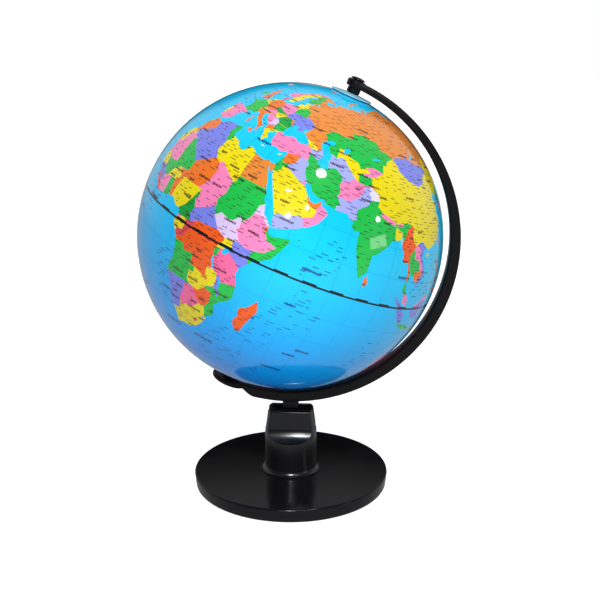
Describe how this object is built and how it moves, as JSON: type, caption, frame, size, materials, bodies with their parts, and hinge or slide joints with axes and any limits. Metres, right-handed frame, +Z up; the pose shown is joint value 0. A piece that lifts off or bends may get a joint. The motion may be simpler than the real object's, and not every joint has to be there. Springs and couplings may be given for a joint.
{
  "type": "desktop globe on stand",
  "caption": "World globe that spins on a tilted axis in a C-shaped arm, which tilts in a forked column on a weighted round base.",
  "frame": {"origin": "centre of the underside, on the non-slip pad", "axes": "+Z up; the arm lies in the XZ plane and the north pole leans towards +X; -Y is the front, where the globe is seen with its arm on the right"},
  "size_m": [0.2114, 0.2, 0.2769],
  "materials": {
    "black_plastic": "black moulded plastic, satin to gloss",
    "globe_print": "glossy printed plastic ball, cyan-blue sea and bright flat country colours",
    "dial_plastic": "thin milky plastic disc",
    "white_plastic": "natural nylon, unseen",
    "foam_rubber": "matt black non-slip foam sheet",
    "zinc_steel": "zinc-plated screws and washer",
    "plate_steel": "plain rolled steel plate"
  },
  "bodies": {
    "stand": {"base_shell": "black_plastic", "ballast_plate": "plate_steel", "ballast_screw_1": "zinc_steel", "ballast_screw_2": "zinc_steel", "ballast_screw_3": "zinc_steel", "base_pad": "foam_rubber", "column_screw": "zinc_steel", "column_screw_washer": "zinc_steel", "column": "black_plastic", "pivot_screw": "zinc_steel", "pivot_nut": "zinc_steel", "friction_washer_front": "white_plastic", "friction_washer_rear": "white_plastic"},
    "arm": {"arm": "black_plastic", "top_pin": "black_plastic", "north_spacer": "black_plastic", "south_pin": "zinc_steel", "south_spacer": "black_plastic"},
    "globe": {"north_hemisphere": "globe_print", "south_hemisphere": "globe_print", "equator_ring": "white_plastic", "north_bush": "white_plastic", "south_bush": "white_plastic"},
    "dial": {"hour_dial": "dial_plastic"}
  },
  "joints": [
    {"name": "arm_tilt", "type": "hinge", "parent": "stand", "child": "arm", "pos_m": [0, 0, 0.0455], "axis": [0, 1, 0], "range_deg": [-18, 18]},
    {"name": "globe_spin", "type": "hinge", "parent": "arm", "child": "globe", "pos_m": [0, 0, 0.1731], "axis": [0.3907, 0, 0.9205], "continuous": true},
    {"name": "dial_turn", "type": "hinge", "parent": "arm", "child": "dial", "pos_m": [0, 0, 0.1731], "axis": [0.3907, 0, 0.9205], "continuous": true}
  ]
}
